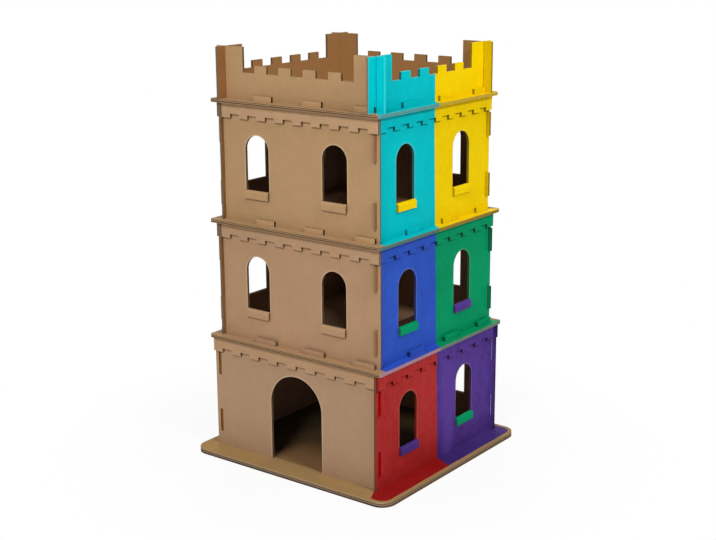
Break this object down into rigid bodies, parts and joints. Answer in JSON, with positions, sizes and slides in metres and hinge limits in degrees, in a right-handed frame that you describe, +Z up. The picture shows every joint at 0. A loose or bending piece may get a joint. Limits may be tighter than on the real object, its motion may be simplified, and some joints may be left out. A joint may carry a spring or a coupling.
{
  "type": "cardboard castle",
  "caption": "Cardboard play castle for a cat: slotted board walls with arched windows and a door, overhanging floors, toothed friezes and a crenellated top, with painted right-hand walls.",
  "frame": {"origin": "on the base plate's underside, below the middle of the castle's walls", "axes": "+Z up; the wall with the door faces -Y and the painted walls face +X"},
  "size_m": [0.5695, 0.553, 0.966],
  "materials": {
    "kraft_board": "bare corrugated board with a kraft liner",
    "red_and_purple_paint": "matt paint, red half and purple half",
    "blue_and_green_paint": "matt paint, blue half and green half",
    "cyan_and_yellow_paint": "matt paint, cyan half and yellow half"
  },
  "bodies": {
    "root": {"base_plate": "kraft_board", "storey1_front_wall": "kraft_board", "storey1_front_frieze": "kraft_board", "storey1_right_wall": "red_and_purple_paint", "storey1_right_frieze": "red_and_purple_paint", "storey1_back_wall": "kraft_board", "storey1_back_frieze": "kraft_board", "storey1_left_wall": "kraft_board", "storey1_left_frieze": "kraft_board", "storey2_front_wall": "kraft_board", "storey2_front_frieze": "kraft_board", "storey2_right_wall": "blue_and_green_paint", "storey2_right_frieze": "blue_and_green_paint", "storey2_back_wall": "kraft_board", "storey2_back_frieze": "kraft_board", "storey2_left_wall": "kraft_board", "storey2_left_frieze": "kraft_board", "storey3_front_wall": "kraft_board", "storey3_front_frieze": "kraft_board", "storey3_right_wall": "cyan_and_yellow_paint", "storey3_right_frieze": "cyan_and_yellow_paint", "storey3_back_wall": "kraft_board", "storey3_back_frieze": "kraft_board", "storey3_left_wall": "kraft_board", "storey3_left_frieze": "kraft_board", "floor2_plate": "kraft_board", "floor3_plate": "kraft_board", "roof_plate": "kraft_board", "battlement_front": "kraft_board", "battlement_right": "cyan_and_yellow_paint", "battlement_back": "kraft_board", "battlement_left": "kraft_board"}
  },
  "joints": []
}
